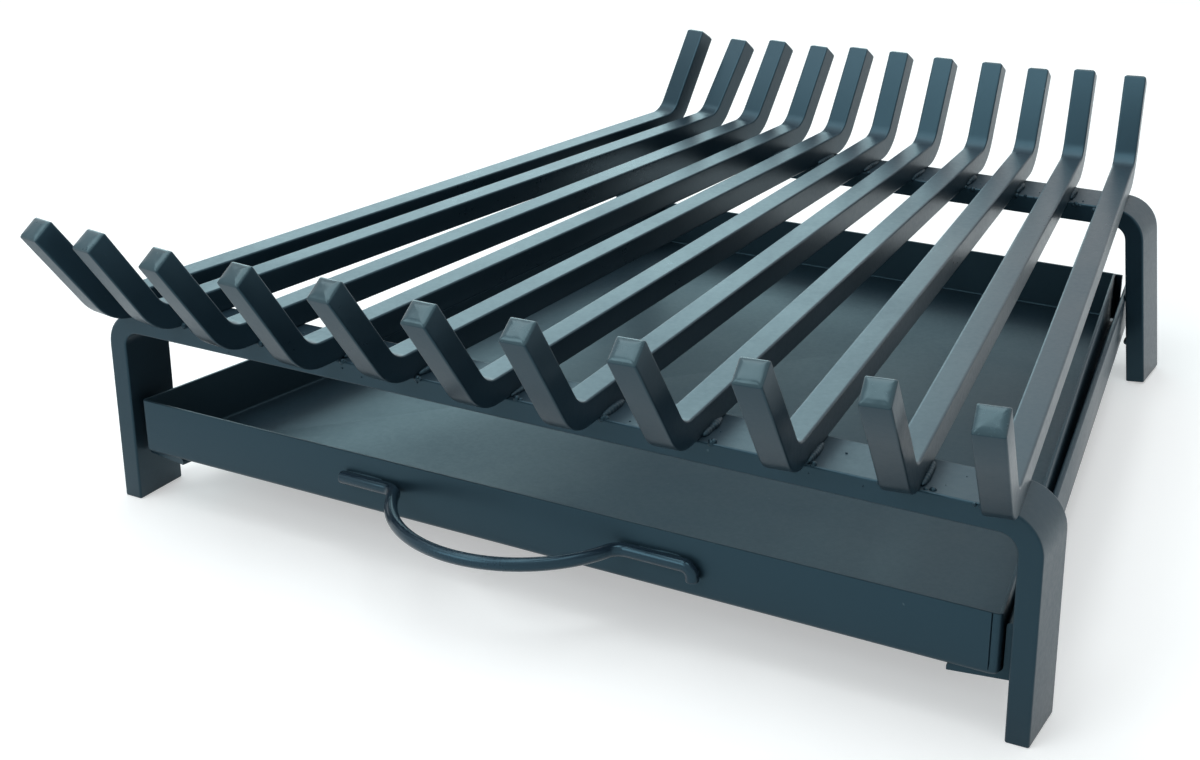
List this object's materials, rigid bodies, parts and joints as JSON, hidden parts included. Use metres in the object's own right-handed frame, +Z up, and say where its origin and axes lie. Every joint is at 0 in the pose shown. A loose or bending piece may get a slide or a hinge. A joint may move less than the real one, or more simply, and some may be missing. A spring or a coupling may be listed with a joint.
{
  "type": "log grate with ash tray",
  "caption": "Tapered fireplace log grate of square bars with upturned ends on two bent strip leg frames, with a sheet ash tray that slides out on angle runners by a wire bow handle.",
  "frame": {"origin": "middle of the outer box, on the hearth", "axes": "+X to the right as seen from the front, +Y from the front to the rear, +Z up"},
  "size_m": [0.462, 0.524, 0.1636],
  "materials": {
    "black_paint": "semi-gloss"
  },
  "bodies": {
    "frame": {"grate_bar_01": "black_paint", "grate_bar_02": "black_paint", "grate_bar_03": "black_paint", "grate_bar_04": "black_paint", "grate_bar_05": "black_paint", "grate_bar_06": "black_paint", "grate_bar_07": "black_paint", "grate_bar_08": "black_paint", "grate_bar_09": "black_paint", "grate_bar_10": "black_paint", "grate_bar_11": "black_paint", "front_leg_frame": "black_paint", "rear_leg_frame": "black_paint", "left_runner": "black_paint", "right_runner": "black_paint", "front_bar_welds": "black_paint", "rear_bar_welds": "black_paint", "runner_welds": "black_paint"},
    "ash_tray": {"tray_pan": "black_paint", "tray_handle": "black_paint", "handle_welds": "black_paint"}
  },
  "joints": [
    {"name": "tray_slide", "type": "slide", "parent": "frame", "child": "ash_tray", "axis": [0, -1, 0], "range_m": [0, 0.41]}
  ]
}
